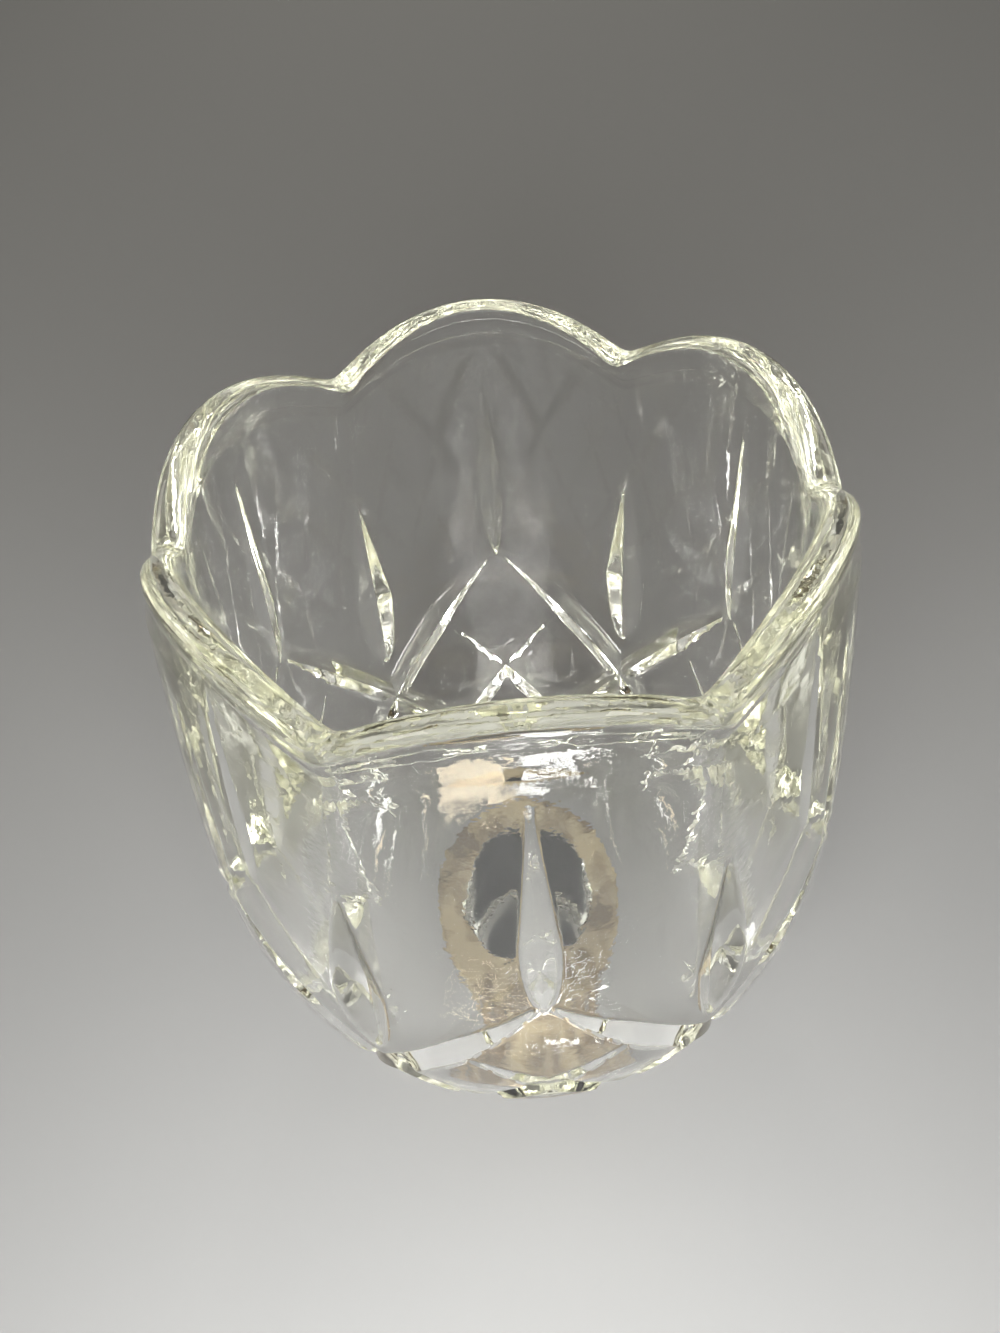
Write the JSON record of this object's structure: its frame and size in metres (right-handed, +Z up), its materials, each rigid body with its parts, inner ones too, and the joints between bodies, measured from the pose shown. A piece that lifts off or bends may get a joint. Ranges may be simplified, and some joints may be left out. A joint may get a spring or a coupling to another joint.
{
  "type": "glass peg candle holder",
  "caption": "Clear pressed glass candle cup with a scalloped rim and cut diamonds, standing on a peg with a soft sleeve that fits a candlestick.",
  "frame": {"origin": "middle of the flat end of the peg, where the holder stands in a candlestick's socket", "axes": "+Z up along the peg and the cup, a dip of the rim on the +X side, the middle of a lobe facing -Y"},
  "size_m": [0.0802, 0.0804, 0.1011],
  "materials": {
    "cup_glass": "clear, fire-polished",
    "peg_glass": "clear, as pressed",
    "sleeve_vinyl": "soft, translucent, satin"
  },
  "bodies": {
    "cup": {"glass_cup": "cup_glass", "glass_peg": "peg_glass"},
    "sleeve": {"peg_sleeve": "sleeve_vinyl"}
  },
  "joints": [
    {"name": "sleeve_slide", "type": "slide", "parent": "cup", "child": "sleeve", "axis": [0, 0, -1], "range_m": [0, 0.024]}
  ]
}
